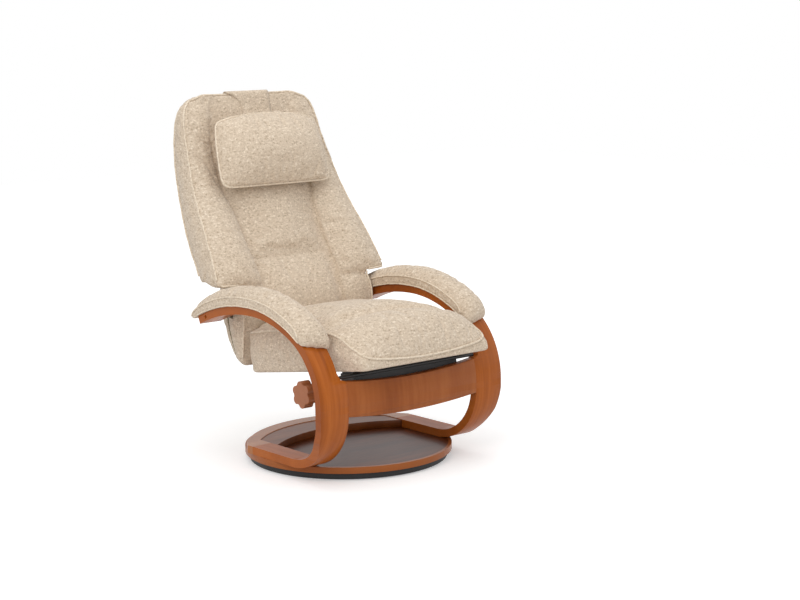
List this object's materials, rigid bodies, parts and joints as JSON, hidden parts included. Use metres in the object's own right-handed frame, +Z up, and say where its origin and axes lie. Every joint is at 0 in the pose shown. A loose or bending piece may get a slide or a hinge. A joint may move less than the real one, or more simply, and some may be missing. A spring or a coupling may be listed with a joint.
{
  "type": "star base swivel recliner",
  "caption": "Swivel recliner with bent-ply arm and leg loops on a round base, a gliding padded seat, a reclining winged back and a strap-hung headrest pillow.",
  "frame": {"origin": "centre of the round base on the floor", "axes": "+Z up, the sitter faces -Y, +X is the sitter's left"},
  "size_m": [0.676, 0.8886, 1.0394],
  "materials": {
    "oatmeal_fabric": "woven, matte",
    "bent_ply": "satin stain",
    "disc_veneer": "gloss stain",
    "birch_ply": "raw",
    "black_steel": "satin black",
    "bright_steel": "zinc plated",
    "black_plastic": "matte",
    "brown_plastic": "satin",
    "webbing": "woven elastic"
  },
  "bodies": {
    "base": {"floor_ring": "black_steel", "star_base": "black_steel", "floor_glides": "black_plastic", "bearing_race": "black_steel", "swivel_pin": "bright_steel"},
    "frame": {"swivel_plate": "black_steel", "base_disc": "disc_veneer", "rear_bridge": "bent_ply", "base_step": "disc_veneer", "left_leg": "bent_ply", "right_leg": "bent_ply", "front_crossbar": "bent_ply", "left_arm_pad": "oatmeal_fabric", "right_arm_pad": "oatmeal_fabric", "mount_channel": "black_steel", "tie_rod": "black_steel", "left_rail": "black_steel", "right_rail": "black_steel", "channel_bolts": "bright_steel", "knob_brackets": "black_steel", "pivot_bolts": "bright_steel"},
    "seat": {"seat_cushion": "oatmeal_fabric", "seat_tray": "birch_ply", "seat_webbing": "webbing", "left_runner": "black_plastic", "right_runner": "black_plastic", "seat_hooks": "black_steel"},
    "backrest": {"back_cushion": "oatmeal_fabric", "back_cover": "oatmeal_fabric", "back_frame": "black_steel", "pivot_plates": "black_steel", "headrest_strap": "oatmeal_fabric", "strap_weight": "oatmeal_fabric"},
    "headrest": {"headrest_pillow": "oatmeal_fabric"},
    "left_tension_knob": {"left_knob": "brown_plastic", "left_knob_shaft": "bright_steel"},
    "right_tension_knob": {"right_knob": "brown_plastic", "right_knob_shaft": "bright_steel"}
  },
  "joints": [
    {"name": "base_swivel", "type": "hinge", "parent": "base", "child": "frame", "pos_m": [0, 0, 0], "axis": [0, 0, 1], "continuous": true},
    {"name": "back_recline", "type": "hinge", "parent": "frame", "child": "backrest", "pos_m": [0, 0.235, 0.416], "axis": [-1, 0, 0], "range_deg": [0, 20]},
    {"name": "seat_glide", "type": "slide", "parent": "frame", "child": "seat", "axis": [0, -0.9877, 0.1564], "range_m": [0, 0.0456]},
    {"name": "headrest_slide", "type": "slide", "parent": "backrest", "child": "headrest", "axis": [0, 0.2957, 0.9553], "range_m": [-0.05, 0.05]},
    {"name": "left_knob_turn", "type": "hinge", "parent": "frame", "child": "left_tension_knob", "pos_m": [0.24, -0.11475, 0.23345], "axis": [1, 0, 0], "range_deg": [-360, 360]},
    {"name": "right_knob_turn", "type": "hinge", "parent": "frame", "child": "right_tension_knob", "pos_m": [-0.24, -0.11475, 0.23345], "axis": [1, 0, 0], "range_deg": [-360, 360]}
  ],
  "couplings": [
    {"joint": "seat_glide", "follows": "back_recline", "m_per_rad": 0.13}
  ]
}
